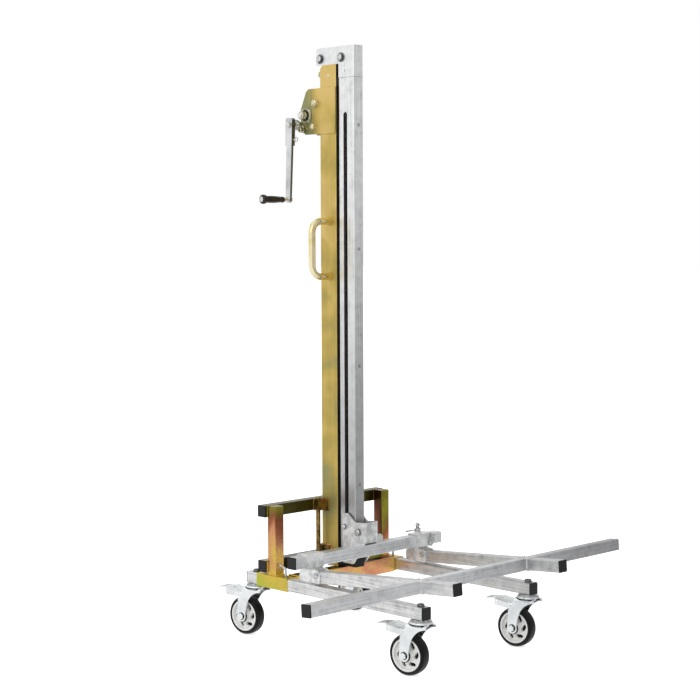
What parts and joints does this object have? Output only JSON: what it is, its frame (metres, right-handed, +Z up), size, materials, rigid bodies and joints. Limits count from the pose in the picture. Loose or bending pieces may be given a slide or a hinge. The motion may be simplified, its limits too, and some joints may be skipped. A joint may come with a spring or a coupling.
{
  "type": "portable folding stacker",
  "caption": "Portable folding stacker: hand-wound telescopic mast on a wheeled frame, with a lifting carriage and a fork frame that folds up.",
  "frame": {"origin": "centre of the bounding box on the floor, on the mast's middle plane", "axes": "+Z up, forks point to -Y, +X is the operator's left"},
  "size_m": [1.122, 0.8184, 1.5228],
  "materials": {
    "zinc_gold": "yellow chromate zinc plate, semi-gloss with faint iridescence",
    "zinc_bright": "bright zinc plate over drawn steel tube",
    "steel_fastener": "zinc plated fasteners",
    "winch_steel": "bright plated steel",
    "nylon": "matt moulded nylon",
    "pulley_steel": "turned steel",
    "cap_plastic": "satin moulded plastic",
    "grip_plastic": "glossy moulded plastic",
    "yoke_zinc": "pressed steel, bright zinc plate",
    "wheel_nylon": "moulded nylon wheel centre",
    "tyre_rubber": "solid rubber tread",
    "pedal_steel": "pressed steel, bright zinc plate"
  },
  "bodies": {
    "base": {"leg_sleeves": "zinc_gold", "legs": "zinc_bright", "base_uprights": "zinc_gold", "cross_tubes": "zinc_gold", "base_caps": "cap_plastic", "post_brackets": "zinc_gold", "upright_pins": "steel_fastener", "leg_locks": "steel_fastener", "post": "zinc_gold", "carry_handle": "zinc_gold", "winch_plates": "zinc_gold", "winch_bearings": "zinc_bright", "post_bolts": "steel_fastener", "rope_anchor": "steel_fastener", "post_guide": "nylon", "caster_stems": "steel_fastener"},
    "post_sheave": {"post_sheave": "pulley_steel"},
    "mast": {"mast": "zinc_bright", "mast_head": "zinc_bright", "mast_foot": "nylon", "head_bolts": "steel_fastener"},
    "pulley_rear": {"pulley_rear": "pulley_steel"},
    "pulley_front": {"pulley_front": "pulley_steel"},
    "winch": {"winch_drum": "winch_steel"},
    "crank": {"crank_shaft": "winch_steel", "winch_pinion": "winch_steel", "ratchet_wheel": "winch_steel", "crank_sleeve": "winch_steel", "crank_arm": "winch_steel", "crank_screws": "steel_fastener"},
    "grip": {"crank_grip": "grip_plastic"},
    "pawl": {"pawl": "steel_fastener"},
    "carriage": {"carriage_plates": "zinc_bright", "carriage_bolts": "steel_fastener", "carriage_guides": "nylon", "carriage_bar": "zinc_bright", "bar_caps": "cap_plastic"},
    "collars": {"fork_collars": "zinc_bright", "collar_bolts": "steel_fastener"},
    "clamp": {"clamp_screw": "steel_fastener"},
    "fork": {"fork_arms": "zinc_bright", "fork_bar": "zinc_bright", "fork_caps": "cap_plastic"},
    "caster_front_right": {"caster_front_right_yoke": "yoke_zinc"},
    "caster_front_right_wheel": {"caster_front_right_wheel": "wheel_nylon", "caster_front_right_tyre": "tyre_rubber"},
    "caster_front_right_pedal": {"caster_front_right_pedal": "pedal_steel"},
    "caster_front_left": {"caster_front_left_yoke": "yoke_zinc"},
    "caster_front_left_wheel": {"caster_front_left_wheel": "wheel_nylon", "caster_front_left_tyre": "tyre_rubber"},
    "caster_front_left_pedal": {"caster_front_left_pedal": "pedal_steel"},
    "caster_rear_right": {"caster_rear_right_yoke": "yoke_zinc"},
    "caster_rear_right_wheel": {"caster_rear_right_wheel": "wheel_nylon", "caster_rear_right_tyre": "tyre_rubber"},
    "caster_rear_right_pedal": {"caster_rear_right_pedal": "pedal_steel"},
    "caster_rear_left": {"caster_rear_left_yoke": "yoke_zinc"},
    "caster_rear_left_wheel": {"caster_rear_left_wheel": "wheel_nylon", "caster_rear_left_tyre": "tyre_rubber"},
    "caster_rear_left_pedal": {"caster_rear_left_pedal": "pedal_steel"}
  },
  "joints": [
    {"name": "mast_lift", "type": "slide", "parent": "base", "child": "mast", "axis": [0, 0, 1], "range_m": [0, 1]},
    {"name": "carriage_lift", "type": "slide", "parent": "mast", "child": "carriage", "axis": [0, 0, 1], "range_m": [0, 1]},
    {"name": "winch_turn", "type": "hinge", "parent": "base", "child": "winch", "pos_m": [0, 0.28014, 1.352], "axis": [-1, 0, 0], "range_deg": [0, 2492]},
    {"name": "crank_turn", "type": "hinge", "parent": "base", "child": "crank", "pos_m": [0, 0.30614, 1.32761], "axis": [1, 0, 0], "range_deg": [0, 5695]},
    {"name": "grip_spin", "type": "hinge", "parent": "crank", "child": "grip", "pos_m": [-0.1, 0.31431, 1.13278], "axis": [1, 0, 0], "continuous": true},
    {"name": "pawl_lift", "type": "hinge", "parent": "base", "child": "pawl", "pos_m": [-0.033, 0.28514, 1.314], "axis": [1, 0, 0], "range_deg": [0, 20]},
    {"name": "post_sheave_spin", "type": "hinge", "parent": "base", "child": "post_sheave", "pos_m": [0, 0.20014, 1.449], "axis": [-1, 0, 0], "range_deg": [0, 3190]},
    {"name": "pulley_rear_spin", "type": "hinge", "parent": "mast", "child": "pulley_rear", "pos_m": [0, 0.23154, 1.495], "axis": [-1, 0, 0], "range_deg": [0, 4410]},
    {"name": "pulley_front_spin", "type": "hinge", "parent": "mast", "child": "pulley_front", "pos_m": [0, 0.15394, 1.494], "axis": [-1, 0, 0], "range_deg": [0, 4410]},
    {"name": "side_shift", "type": "slide", "parent": "carriage", "child": "collars", "axis": [1, 0, 0], "range_m": [-0.03, 0.03]},
    {"name": "clamp_turn", "type": "hinge", "parent": "collars", "child": "clamp", "pos_m": [0.19, 0.08154, 0.256], "axis": [0, 0, 1], "range_deg": [-180, 0]},
    {"name": "fork_fold", "type": "hinge", "parent": "collars", "child": "fork", "pos_m": [0, 0.04914, 0.194], "axis": [-1, 0, 0], "range_deg": [0, 86]},
    {"name": "caster_front_right_swivel", "type": "hinge", "parent": "base", "child": "caster_front_right", "pos_m": [-0.1965, -0.29386, 0.134], "axis": [0, 0, 1], "continuous": true},
    {"name": "caster_front_right_roll", "type": "hinge", "parent": "caster_front_right", "child": "caster_front_right_wheel", "pos_m": [-0.20166, -0.26127, 0.05], "axis": [0.9877, 0.1564, 0], "continuous": true},
    {"name": "caster_front_right_brake", "type": "hinge", "parent": "caster_front_right", "child": "caster_front_right_pedal", "pos_m": [-0.19932, -0.27608, 0.114], "axis": [-0.9877, -0.1564, 0], "range_deg": [0, 8]},
    {"name": "caster_front_left_swivel", "type": "hinge", "parent": "base", "child": "caster_front_left", "pos_m": [0.1965, -0.29386, 0.134], "axis": [0, 0, 1], "continuous": true},
    {"name": "caster_front_left_roll", "type": "hinge", "parent": "caster_front_left", "child": "caster_front_left_wheel", "pos_m": [0.19134, -0.26127, 0.05], "axis": [0.9877, 0.1564, 0], "continuous": true},
    {"name": "caster_front_left_brake", "type": "hinge", "parent": "caster_front_left", "child": "caster_front_left_pedal", "pos_m": [0.19368, -0.27608, 0.114], "axis": [-0.9877, -0.1564, 0], "range_deg": [0, 8]},
    {"name": "caster_rear_right_swivel", "type": "hinge", "parent": "base", "child": "caster_rear_right", "pos_m": [-0.1965, 0.29214, 0.134], "axis": [0, 0, 1], "continuous": true},
    {"name": "caster_rear_right_roll", "type": "hinge", "parent": "caster_rear_right", "child": "caster_rear_right_wheel", "pos_m": [-0.20166, 0.32473, 0.05], "axis": [0.9877, 0.1564, 0], "continuous": true},
    {"name": "caster_rear_right_brake", "type": "hinge", "parent": "caster_rear_right", "child": "caster_rear_right_pedal", "pos_m": [-0.19932, 0.30992, 0.114], "axis": [-0.9877, -0.1564, 0], "range_deg": [0, 8]},
    {"name": "caster_rear_left_swivel", "type": "hinge", "parent": "base", "child": "caster_rear_left", "pos_m": [0.1965, 0.29214, 0.134], "axis": [0, 0, 1], "continuous": true},
    {"name": "caster_rear_left_roll", "type": "hinge", "parent": "caster_rear_left", "child": "caster_rear_left_wheel", "pos_m": [0.19134, 0.32473, 0.05], "axis": [0.9877, 0.1564, 0], "continuous": true},
    {"name": "caster_rear_left_brake", "type": "hinge", "parent": "caster_rear_left", "child": "caster_rear_left_pedal", "pos_m": [0.19368, 0.30992, 0.114], "axis": [-0.9877, -0.1564, 0], "range_deg": [0, 8]}
  ],
  "couplings": [
    {"joint": "carriage_lift", "follows": "mast_lift", "ratio": 1},
    {"joint": "winch_turn", "follows": "mast_lift", "rad_per_m": 43.478},
    {"joint": "crank_turn", "follows": "mast_lift", "rad_per_m": 99.379},
    {"joint": "post_sheave_spin", "follows": "mast_lift", "rad_per_m": 55.556},
    {"joint": "pulley_rear_spin", "follows": "mast_lift", "rad_per_m": 76.923},
    {"joint": "pulley_front_spin", "follows": "mast_lift", "rad_per_m": 76.923}
  ]
}
